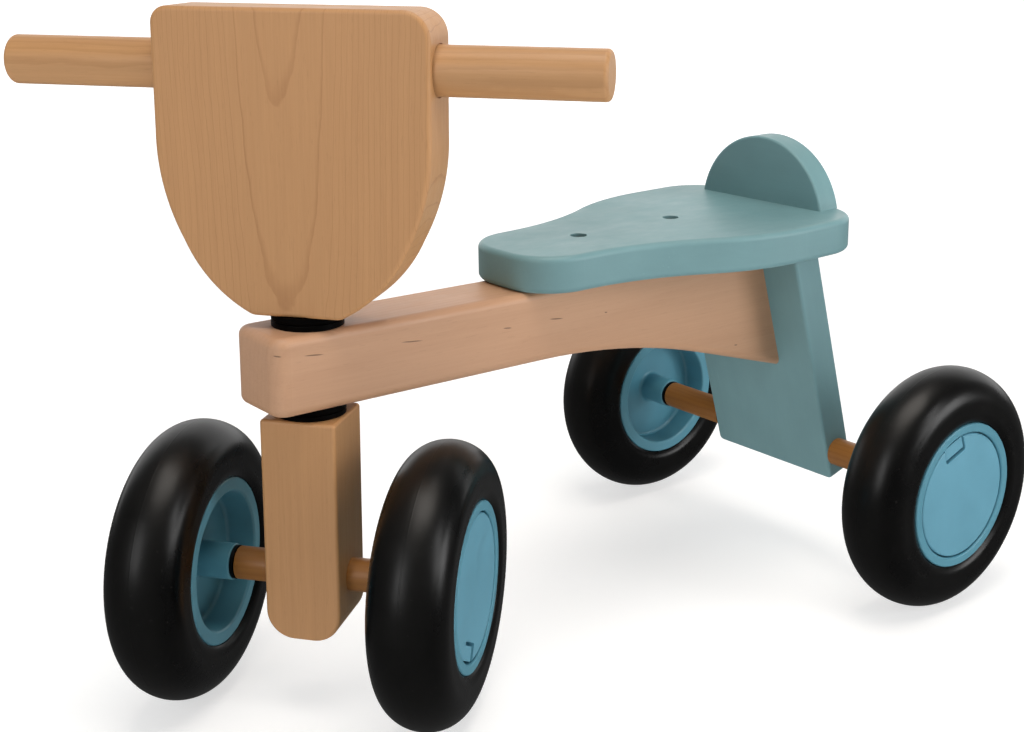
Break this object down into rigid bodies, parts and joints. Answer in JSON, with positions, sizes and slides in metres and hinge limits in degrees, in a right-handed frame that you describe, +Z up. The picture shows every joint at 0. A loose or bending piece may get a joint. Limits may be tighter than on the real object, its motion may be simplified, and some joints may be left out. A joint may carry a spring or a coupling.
{
  "type": "balance bike",
  "caption": "Low wooden balance bike for a toddler: turning shield-shaped head with a dowel handlebar, waisted seat with a low back stop, and wide solid tyres.",
  "frame": {"origin": "on the floor, at the centre of the bounding box seen from above, with the steering turned to the rider's left as it rests", "axes": "+X forward along the beam, +Y to the rider's left, +Z up"},
  "size_m": [0.5798, 0.3182, 0.3946],
  "materials": {
    "beam_wood": "clear satin lacquer on pale pinkish beige wood",
    "shield_wood": "clear satin lacquer on warm tan wood with arched grain",
    "block_wood": "clear satin lacquer, upright grain",
    "handlebar_wood": "clear satin lacquer, grain along the dowel",
    "sleeve_wood": "orange-toned turned wood",
    "painted_wood": "satin sage blue-green paint",
    "wheel_plastic": "satin moulded plastic, sky-blue green",
    "cap_plastic": "satin moulded plastic, sky-blue green",
    "black_plastic": "matt black moulded plastic",
    "tyre": "smooth black rubber",
    "steel": "zinc-plated steel",
    "dark_steel": "dull dark steel",
    "insert_brass": "plain brass"
  },
  "bodies": {
    "frame": {"frame_beam": "beam_wood", "rear_leg": "painted_wood", "seat_board": "painted_wood", "seat_backrest": "painted_wood", "seat_bolts": "dark_steel", "seat_threaded_inserts": "insert_brass", "backrest_screws": "steel", "leg_bolts": "steel", "upper_head_bushing": "black_plastic", "lower_head_bushing": "black_plastic", "steering_stop_pin": "steel", "rear_axle_sleeve_left": "sleeve_wood", "rear_axle_sleeve_right": "sleeve_wood", "rear_axle_rod": "steel", "rear_axle_washers": "steel", "rear_axle_lock_nuts": "steel"},
    "steering": {"handlebar_shield": "shield_wood", "handlebar": "handlebar_wood", "steering_post": "block_wood", "steering_block": "block_wood", "handlebar_screw": "steel", "shield_screws": "steel", "block_screw": "steel", "upper_steering_disc": "black_plastic", "lower_steering_disc": "black_plastic", "front_axle_sleeve_left": "sleeve_wood", "front_axle_sleeve_right": "sleeve_wood", "front_axle_rod": "steel", "front_axle_washers": "steel", "front_axle_lock_nuts": "steel"},
    "front_wheel_left": {"front_tyre_left": "tyre", "front_rim_left": "wheel_plastic", "front_hub_cap_left": "cap_plastic", "front_wheel_bush_left": "black_plastic"},
    "front_wheel_right": {"front_tyre_right": "tyre", "front_rim_right": "wheel_plastic", "front_hub_cap_right": "cap_plastic", "front_wheel_bush_right": "black_plastic"},
    "rear_wheel_left": {"rear_tyre_left": "tyre", "rear_rim_left": "wheel_plastic", "rear_hub_cap_left": "cap_plastic", "rear_wheel_bush_left": "black_plastic"},
    "rear_wheel_right": {"rear_tyre_right": "tyre", "rear_rim_right": "wheel_plastic", "rear_hub_cap_right": "cap_plastic", "rear_wheel_bush_right": "black_plastic"}
  },
  "joints": [
    {"name": "steering_turn", "type": "hinge", "parent": "frame", "child": "steering", "pos_m": [0.1759, 0, 0.2], "axis": [0, 0, 1], "range_deg": [-83.25, 6.75]},
    {"name": "front_wheel_left_spin", "type": "hinge", "parent": "steering", "child": "front_wheel_left", "pos_m": [0.13021, 0.05796, 0.08], "axis": [-0.6191, 0.7853, 0], "continuous": true},
    {"name": "front_wheel_right_spin", "type": "hinge", "parent": "steering", "child": "front_wheel_right", "pos_m": [0.22159, -0.05796, 0.08], "axis": [-0.6191, 0.7853, 0], "continuous": true},
    {"name": "rear_wheel_left_spin", "type": "hinge", "parent": "frame", "child": "rear_wheel_left", "pos_m": [-0.21, 0.1366, 0.08], "axis": [0, 1, 0], "continuous": true},
    {"name": "rear_wheel_right_spin", "type": "hinge", "parent": "frame", "child": "rear_wheel_right", "pos_m": [-0.21, -0.1366, 0.08], "axis": [0, 1, 0], "continuous": true}
  ]
}
